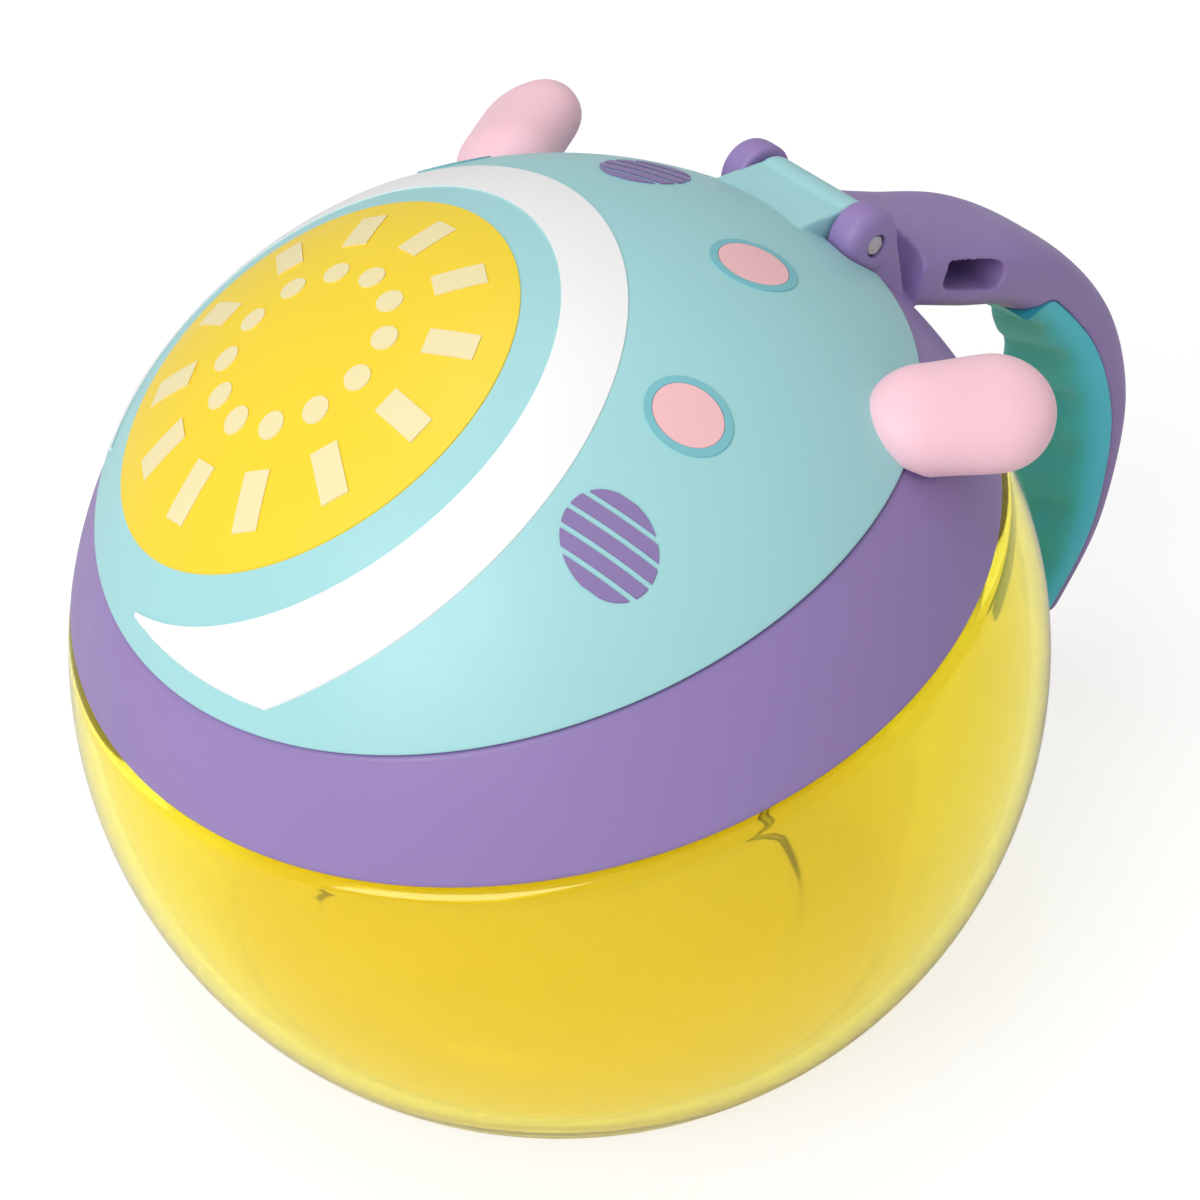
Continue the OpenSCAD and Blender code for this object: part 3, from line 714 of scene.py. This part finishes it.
# Seal and flaps
def seal():
    out, low = NECK_R - 0.1, NECK_TOP - 2.4
    top = NECK_TOP + 0.1 + SEAL_T
    prof = rounded([(out - 0.7, low, 0), (out, low, 0.3), (out, NECK_TOP + 0.1, 0.15),
                    (NECK_OUT, NECK_TOP + 0.1, 0.3), (NECK_OUT, top, 0.4), (out - 1.4, top, 0.4),
                    (out - 1.4, low, 0.5), (out - 0.7, low, 0)], 4)[:-1]
    place(lathe("seal_soft", prof, COLLAR_TILT, 180), "seal", ["seal_ring"], WHITE_SOFT, "soft_white")


def hexagon(apothem, a, corner=0.0):
    r = apothem / np.cos((a + math.pi / 6) % (math.pi / 3) - math.pi / 6)
    return r - corner * (r / apothem - 1) ** 2 * 100 if corner else r


def flap_ring():
    a = angles(216)
    hexa = hexagon(FLAP_APOTHEM, a, 0.25)
    top, low = RECESS_FLOOR + FLAP_T, RECESS_FLOOR - FLAP_LIP

    def ring(r, h):
        return tilt(np.stack([r * np.cos(a), r * np.sin(a), h + 0 * a], -1), LID_TILT)

    out, lip = RECESS_R - 0.2, DECK_HOLE - 1.2
    rings = bend(ring(out, RECESS_FLOOR), ring(out, top), ring(out - 0.7, top), 4)
    # The shallow groove on top
    rings += [ring(out - 2.0, top), ring(out - 2.4, top - 0.25)]
    rings += [ring(out - 3.2, top - 0.25), ring(out - 3.6, top)]
    rings += bend(ring(hexa + 0.4, top), ring(hexa, top), ring(hexa, top - 0.4), 4)
    rings += bend(ring(hexa, low + 0.3), ring(hexa, low), ring(hexa + 0.3, low), 3)
    rings += bend(ring(lip - 0.3, low), ring(lip, low), ring(lip, low + 0.3), 3)
    rings += [ring(lip, RECESS_FLOOR), ring(lip + 1.5, RECESS_FLOOR)]
    place(loft("flap_ring_soft", rings, loop=True), "collar", ["flap_ring"], WHITE_SOFT, "soft_white")


def flaps():
    axis_r = FLAP_APOTHEM - FLAP_SLIT - FLAP_T / 2
    root = axis_r * math.tan(math.pi / 6) - FLAP_SLIT
    for i in range(6):
        # Outline in the flap's own frame: the root's two ends, then the arc at the tip
        meet = math.atan(root / (axis_r - FLAP_SLIT))
        tip = []
        for g in np.linspace(0.86 * meet, -0.86 * meet, 7):
            tip.append((FLAP_HOLE * 1.02 * math.cos(g), FLAP_HOLE * 1.02 * math.sin(g)))
        outline = [(axis_r, -root), (axis_r + 0.55, -root), (axis_r + 0.55, root), (axis_r, root)] + tip
        n = len(outline)
        bm = bmesh.new()
        low = [bm.verts.new((x * MM, y * MM, -FLAP_T / 2 * MM)) for x, y in outline]
        high = [bm.verts.new((x * MM, y * MM, FLAP_T / 2 * MM)) for x, y in outline]
        bm.faces.new(low[::-1])
        bm.faces.new(high)
        for k in range(n):
            bm.faces.new((low[k], low[(k + 1) % n], high[(k + 1) % n], high[k]))
        edges = [e for e in bm.edges if not (e.verts[0] in low) ^ (e.verts[1] in low)]
        bmesh.ops.bevel(bm, geom=edges, offset=0.28 * MM, segments=3, profile=0.5, affect="EDGES")
        mesh = bpy.data.meshes.new(f"flap_soft_{i + 1}")
        bm.to_mesh(mesh)
        bm.free()
        co = np.array([v.co for v in mesh.vertices]) / MM
        c, s = math.cos(math.radians(60 * i)), math.sin(math.radians(60 * i))
        p = np.stack([co[:, 0] * c - co[:, 1] * s, co[:, 0] * s + co[:, 1] * c,
                      co[:, 2] + RECESS_FLOOR + FLAP_T / 2], -1)
        mesh.vertices.foreach_set("co", (tilt(p, LID_TILT) * MM).ravel())
        mesh.polygons.foreach_set("use_smooth", [True] * len(mesh.polygons))
        obj = bpy.data.objects.new(f"flap_soft_{i + 1}", mesh)
        bpy.context.scene.collection.objects.link(obj)
        outwards(obj)
        sharp_by_angle(obj, 30)
        place(obj, f"flap_{i + 1}", [f"flap_{i + 1}"], WHITE_SOFT, "soft_white")


# Lid
def lid():
    n = AROUND + 64
    edge = tilt(edge_ring(LID_R, LID_GAP, n), LID_TILT)

    def toward_pole(r_ball, rings):
        """Rings on a ball from the edge's directions up to a small ring round the lid's pole."""
        a = angles(n)
        start = edge_ring(r_ball, LID_GAP, n)
        small = np.stack([0.6 * np.cos(a), 0.6 * np.sin(a), math.sqrt(r_ball ** 2 - 0.36) + 0 * a], -1)
        return on_ball(tilt(start, LID_TILT), tilt(small, LID_TILT), rings)

    outer = toward_pole(LID_R, 70)
    inner = toward_pole(LID_R - LID_WALL, 24)
    soft = 0.55
    corner = bend(edge + toward(outer[0], outer[1]) * soft, edge, edge + toward(edge, inner[0]) * soft, 6)
    rings = outer[:0:-1] + corner + inner
    obj = loft("lid_dome", rings)
    for side in (-1, 1):
        x0 = side * (KNUCKLE_IN - HINGE_GAP)
        x1 = side * (KNUCKLE_OUT + HINGE_GAP)
        r = KNUCKLE_R + HINGE_GAP
        cut(obj, rod("tool", [(x0, r), (x1 - side * 1.2, r), (x1 - side * 0.4, r - 0.35), (x1, r - 1.1)],
                     HINGE_Y, HINGE_H, 96))
    sharp_by_angle(obj, 40)
    place(obj, "lid", ["lid_shell"], TEAL, "lid_teal")
    # Barrel and web, grown together with a patch a little under the dome's surface
    half = BARREL_LEN / 2
    parts = [rod("barrel", [(-half, BARREL_R - 0.45), (-half + 0.35, BARREL_R), (half - 0.35, BARREL_R),
                            (half, BARREL_R - 0.45)], HINGE_Y, HINGE_H, 96)]
    web = [(-0.56, BARREL_R), (-6.0, 4.75), (-7.4, 4.9), (-5.6, 3.3), (-1, -1), (0, 0)]
    parts.append(prism("web", [(HINGE_Y + y, HINGE_H + d) for y, d in web], -half, half))
    parts.append(wall_patch(36, 0.235, (35.5, 52), LID_R - 0.07, LID_R - 1.7, half - 0.05))
    boss = joined("lid_barrel", parts)
    fused(boss, 0.26, 9)
    place(boss, "lid", [], TEAL, "lid_teal")


def liner():
    seat = COLLAR_TOP + LID_GAP + 1.4
    seat_r = math.sqrt((LID_R - LID_WALL) ** 2 - seat ** 2) - 0.05
    low, edge = PLUG_LOW, COLLAR_TOP + LID_GAP
    prof = rounded([
        (0.4, seat, 0), (seat_r - 0.6, seat, 0.2), (seat_r, seat - 0.6, 0.3), (seat_r, edge + 0.01, 0.3),
        (PLUG_R, edge + 0.01, 0.3), (PLUG_R, low + 0.9, 0.2), (PLUG_R + 0.28, low + 0.4, 0.3),
        (PLUG_R - 0.2, low, 0.3),
        (PLUG_R - PLUG_WALL, low, 0.5), (PLUG_R - PLUG_WALL, edge, 0.8),
        (30.0, edge, 0.5), (29.2, edge + 0.4, 0.5),
        (14.0, edge + 0.4, 0.5), (13.2, edge + 0.1, 0.5), (12.0, edge + 0.1, 0.4), (11.4, edge + 0.4, 0.4),
        (0.4, edge + 0.4, 0)], 4)
    place(lathe("lid_liner_panel", prof, LID_TILT, 200, loop=False), "lid", ["lid_liner"], WHITE, "white")


def ear(side):
    """Soft rounded paddle that grows from the lid's edge."""
    length, w, t = 13.4, 6.4, 4.4
    turn, roll, rise = math.radians(58), math.radians(30), math.radians(2)
    n = 96
    a = angles(n)
    c, v = np.cos(a), np.sin(a)
    mid = length - w
    stations = [(mid + w * math.sin(g), max(math.cos(g), 0.02)) for g in np.linspace(math.pi / 2, 0, 22)]
    stations += [(x, 1.0) for x in np.linspace(mid, 0, 12)[1:]]
    stations += [(-w * math.sin(g), max(math.cos(g), 0.02)) for g in np.linspace(0, math.pi / 2, 18)[1:]]
    rings = []
    for x, k in stations:
        width = (w - 0.4 * (1 - smooth(0, mid, x))) * k
        depth = (t - 0.2 * smooth(0, mid, x)) * k ** 0.7
        rings.append(np.stack([x + 0 * a, width * np.sign(c) * np.abs(c) ** 0.88,
                               depth * np.sign(v) * np.abs(v) ** 0.92], -1))
    m = np.array(Matrix.Rotation(turn, 3, "Z") @ Matrix.Rotation(-rise, 3, "Y") @ Matrix.Rotation(roll, 3, "X"))
    root = BALL_R * np.array([0.638, 0.377, 0.731])
    out = []
    for r in rings:
        p = r @ m.T + root
        p[:, 2] += BALL_Z
        p[:, 0] *= side
        out.append(p)
    name = "right" if side > 0 else "left"
    obj = loft(f"{name}_ear_soft", out)
    # The lid's surface, with a little more room under its edge
    g = angles(192)
    rings = []
    for h in np.sin(np.linspace(-math.pi / 2 + 0.02, math.pi / 2 - 0.02, 120)) * LID_R:
        r = math.sqrt(LID_R ** 2 - h * h)
        p = np.stack([r * np.cos(g), r * np.sin(g), h + 0 * g], -1)
        over = p[:, 2] - edge_height(np.clip(p[:, 1], -54, 54), LID_GAP)
        grow = 1 + 0.5 / LID_R * (1 - smooth(-0.3, 0.0, over))
        rings.append(tilt(p * grow[:, None], LID_TILT))
    cut(obj, loft("ball_tool", rings))
    sharp_by_angle(obj, 50)
    place(obj, "lid", [f"{name}_ear_tab"], PINK, "soft_pink")


# Printed film
def on_skin(x, y, layer, under=False):
    r = LID_R + FILM_T * (layer if under else layer + 1) - (0.06 if under else 0)
    return tilt(np.stack([x, y, np.sqrt(np.maximum(r * r - x * x - y * y, 1.0))], -1), LID_TILT)


def disc(cx, cy, radius, layer, n=96, rows=10, hole=0.0):
    """Rings of a flat round patch laid on the lid, top and edge."""
    a = angles(n)
    rings = []
    for r in np.linspace(max(hole, 0.02), radius - 0.05, rows):
        rings.append(on_skin(cx + r * np.cos(a), cy + r * np.sin(a), layer))
    rings.append(on_skin(cx + radius * np.cos(a), cy + radius * np.sin(a), layer, True))
    if hole:
        rings.insert(0, on_skin(cx + hole * np.cos(a), cy + hole * np.sin(a), layer, True))
    return rings


def strip(rows_2d, layer, rows=8):
    """Patch through matching rows of 2-D points (two rows are filled in), its edge turned down to the lid."""
    grid = [np.array(r) for r in rows_2d]
    if len(grid) == 2:
        grid = [mix(grid[0], grid[1], t) for t in np.linspace(0, 1, rows)]
    n, rows = len(grid[0]), len(grid)
    verts = np.concatenate([on_skin(g[:, 0], g[:, 1], layer) for g in grid])
    skirt = np.concatenate([on_skin(g[:, 0], g[:, 1], layer, True) for g in grid])
    faces = [(i * n + j, i * n + j + 1, (i + 1) * n + j + 1, (i + 1) * n + j)
             for i in range(rows - 1) for j in range(n - 1)]
    rim = list(range(n)) + [i * n + n - 1 for i in range(1, rows)]
    rim += [(rows - 1) * n + j for j in range(n - 2, -1, -1)] + [i * n for i in range(rows - 2, 0, -1)]
    k = len(verts)
    for i, v in enumerate(rim):
        w = rim[(i + 1) % len(rim)]
        faces.append((v, v + k, w + k, w))
    return mesh_object("strip", np.concatenate([verts, skirt]), faces)


SUN_R, SUN_X, SUN_Y = 23.0, -8.0, -15.0
HALO_GAP, HALO_W, RAYS = 4.0, 6.5, 12
SPOT_R, RING_W, STRIPED_R = 3.4, 0.8, 4.6
SPOTS = ((27, 6), (14, 26), (-29, 19))
STRIPED = ((-7, 29), (31.5, -9))


def film_object(name, node, objs, material, slot):
    obj = joined(name, objs)
    bm = bmesh.new()
    bm.from_mesh(obj.data)
    loose = [v for v in bm.verts if not v.link_faces]
    bmesh.ops.delete(bm, geom=loose, context="VERTS")
    bm.to_mesh(obj.data)
    bm.free()
    outwards(obj)
    sharp_by_angle(obj, 30)
    place(obj, "lid", [node], material, slot)


def in_lid(x, y):
    """True where a point seen from above lies on the lid, clear of its edge."""
    h = np.sqrt(np.maximum(LID_R ** 2 - x * x - y * y, 0))
    return h > edge_height(np.clip(y, -60, 60), LID_GAP + 1.5)


def film():
    # White arc, as far as the lid's edge lets it reach
    r0, r1 = SUN_R + HALO_GAP, SUN_R + HALO_GAP + HALO_W
    a = np.linspace(0, TURN, 721)
    reach = []
    for g in a:
        r = np.linspace(r0, r1, 120)
        x, y = SUN_X + r * math.cos(g), SUN_Y + r * math.sin(g)
        ok = in_lid(x, y) & (x * x + y * y < EDGE_R ** 2)
        reach.append(r[ok].max() if ok[0] else 0)
    reach = np.array(reach)
    runs, run = [], []
    for i in range(len(a)):
        if reach[i] > r0 + 0.3:
            run.append(i)
        elif run:
            runs.append(run)
            run = []
    if run:
        runs.append(run)
    if len(runs) > 1 and runs[0][0] == 0 and runs[-1][-1] == len(a) - 1:
        runs[0] = runs.pop() + runs[0][1:]
    objs = []
    for run in runs:
        if len(run) < 8:
            continue
        g, r = a[run], reach[run]
        inner = np.stack([SUN_X + r0 * np.cos(g), SUN_Y + r0 * np.sin(g)], -1)
        outer = np.stack([SUN_X + r * np.cos(g), SUN_Y + r * np.sin(g)], -1)
        objs.append(strip((inner, outer), 0, 8))
    film_object("print_arc", "film_halo", objs, INK_WHITE, "print_white")
    film_object("print_sun", "film_sun", [loft("d", disc(SUN_X, SUN_Y, SUN_R, 0, 180, 26), ends="open")],
                INK_YELLOW, "print_yellow")
    objs = []
    w = 0.13 * SUN_R / 2
    for i in range(RAYS):
        g = i * TURN / RAYS
        c, s = math.cos(g), math.sin(g)
        ends = []
        for r in (0.62 * SUN_R, 0.86 * SUN_R):
            ends.append(np.array([(SUN_X + r * c - v * s, SUN_Y + r * s + v * c)
                                  for v in np.linspace(-w, w, 7)]))
        objs.append(strip(ends, 1, 10))
        r = 0.42 * SUN_R
        objs.append(loft("d", disc(SUN_X + r * c, SUN_Y + r * s, 0.065 * SUN_R, 1, 32, 4), ends="open"))
    film_object("print_rays", "film_rays", objs, INK_CREAM, "print_cream")
    film_object("print_rings", "film_rings",
                [loft("d", disc(x, y, SPOT_R + RING_W, 0, 72, 4, hole=SPOT_R), ends="open") for x, y in SPOTS],
                INK_CYAN, "print_cyan")
    film_object("print_spots", "film_spots",
                [loft("d", disc(x, y, SPOT_R - 0.02, 0, 72, 8), ends="open") for x, y in SPOTS],
                INK_PINK, "print_pink")
    objs = []
    pitch, lean = STRIPED_R / 2.4, math.radians(20)
    for cx, cy in STRIPED:
        for i in range(-2, 3):
            lo, hi = (i - 0.35) * pitch, (i + 0.35) * pitch
            rows = []
            for v in np.linspace(lo, hi, 9):
                half = math.sqrt(max(STRIPED_R ** 2 - v * v, 0.01))
                u = np.linspace(-half, half, 25)
                rows.append(np.stack([cx + u * math.cos(lean) - v * math.sin(lean),
                                      cy + u * math.sin(lean) + v * math.cos(lean)], -1))
            objs.append(strip(rows, 0))
    film_object("print_stripes", "film_stripes", objs, INK_PURPLE, "print_purple")


# Floor, light, camera
def studio():
    floor = bpy.data.meshes.new("floor")
    size = 3.0
    corners = [(-size, -size, 0), (size, -size, 0), (size, size, 0), (-size, size, 0)]
    floor.from_pydata(corners, [], [(0, 1, 2, 3)])
    obj = bpy.data.objects.new("floor", floor)
    obj.location.z = -0.0002
    bpy.context.scene.collection.objects.link(obj)
    mat = bpy.data.materials.new("pale_floor")
    mat.use_nodes = True
    tree = mat.node_tree
    tree.nodes.clear()
    out = tree.nodes.new("ShaderNodeOutputMaterial")
    matte = tree.nodes.new("ShaderNodeBsdfDiffuse")
    tone = tree.nodes.new("ShaderNodeMix")
    tone.data_type = "RGBA"
    tone.inputs[6].default_value = (0.80, 0.80, 0.80, 1)
    tone.inputs[7].default_value = (0.44, 0.44, 0.44, 1)
    tree.links.new(tone.outputs[2], matte.inputs[0])
    glow = tree.nodes.new("ShaderNodeEmission")
    glow.inputs[0].default_value = (1, 1, 1, 1)
    path = tree.nodes.new("ShaderNodeLightPath")
    level = tree.nodes.new("ShaderNodeMath")
    level.operation = "MULTIPLY"
    # Far from the object the floor fades to the backdrop's white
    where = tree.nodes.new("ShaderNodeTexCoord")
    far = tree.nodes.new("ShaderNodeVectorMath")
    far.operation = "LENGTH"
    tree.links.new(where.outputs["Object"], far.inputs[0])
    fade = tree.nodes.new("ShaderNodeMapRange")
    for i, v in enumerate((0.25, 0.9, FLOOR_GLOW, 1.2)):
        fade.inputs[i + 1].default_value = v
    tree.links.new(far.outputs["Value"], fade.inputs[0])
    tree.links.new(fade.outputs[0], level.inputs[1])
    tree.links.new(path.outputs["Is Camera Ray"], level.inputs[0])
    tree.links.new(path.outputs["Is Camera Ray"], tone.inputs[0])
    through = tree.nodes.new("ShaderNodeMath")
    through.operation = "MULTIPLY_ADD"
    through.inputs[1].default_value = THROUGH_GLOW
    tree.links.new(path.outputs["Is Transmission Ray"], through.inputs[0])
    tree.links.new(level.outputs[0], through.inputs[2])
    tree.links.new(through.outputs[0], glow.inputs[1])
    add = tree.nodes.new("ShaderNodeAddShader")
    tree.links.new(matte.outputs[0], add.inputs[0])
    tree.links.new(glow.outputs[0], add.inputs[1])
    tree.links.new(add.outputs[0], out.inputs[0])
    floor.materials.append(mat)

    world = bpy.data.worlds.new("studio")
    bpy.context.scene.world = world
    world.use_nodes = True
    tree = world.node_tree
    tree.nodes.clear()
    out = tree.nodes.new("ShaderNodeOutputWorld")
    back = tree.nodes.new("ShaderNodeBackground")
    back.inputs[0].default_value = (1, 1, 1, 1)
    path = tree.nodes.new("ShaderNodeLightPath")
    strength = tree.nodes.new("ShaderNodeMix")
    strength.data_type = "FLOAT"
    strength.inputs[2].default_value = WORLD_LEVEL
    strength.inputs[3].default_value = 1.0
    tree.links.new(path.outputs["Is Camera Ray"], strength.inputs[0])
    tree.links.new(strength.outputs[0], back.inputs[1])
    tree.links.new(back.outputs[0], out.inputs[0])

    def lamp(name, place, target, size, power):
        data = bpy.data.lights.new(name, "AREA")
        data.shape, data.size, data.size_y, data.energy = "RECTANGLE", size[0], size[1], power
        lamp_obj = bpy.data.objects.new(name, data)
        bpy.context.scene.collection.objects.link(lamp_obj)
        lamp_obj.location = place
        lamp_obj.rotation_euler = (Vector(target) - Vector(place)).to_track_quat("-Z", "Y").to_euler()

    target = (0, 0, 0.05)
    for name, place, size, power in LAMPS:
        lamp(name, place, target, size, power)

    data = bpy.data.cameras.new("camera")
    data.sensor_width, data.lens = 36.0, 114.0
    cam = bpy.data.objects.new("camera", data)
    bpy.context.scene.collection.objects.link(cam)
    cam.location = (0.2625, -0.2084, 0.2549 + BALL_Z * MM)
    cam.rotation_euler = (math.radians(53.45), 0, math.radians(50.8))
    data.clip_start, data.clip_end = 0.01, 10
    bpy.context.scene.camera = cam
    bpy.context.scene.view_settings.view_transform = "Standard"


FLOOR_GLOW, THROUGH_GLOW = 0.68, 0.70
WORLD_LEVEL = 0.47
LAMPS = (
    ("key", (0.28, -1.00, 0.80), (0.8, 0.8), 9.2),
    ("top", (-0.25, -0.10, 1.30), (0.9, 0.6), 3.0),
)

bowl()
collar()
handle()
grip()
pin()
seal()
flap_ring()
flaps()
lid()
liner()
ear(1)
ear(-1)
film()
studio()
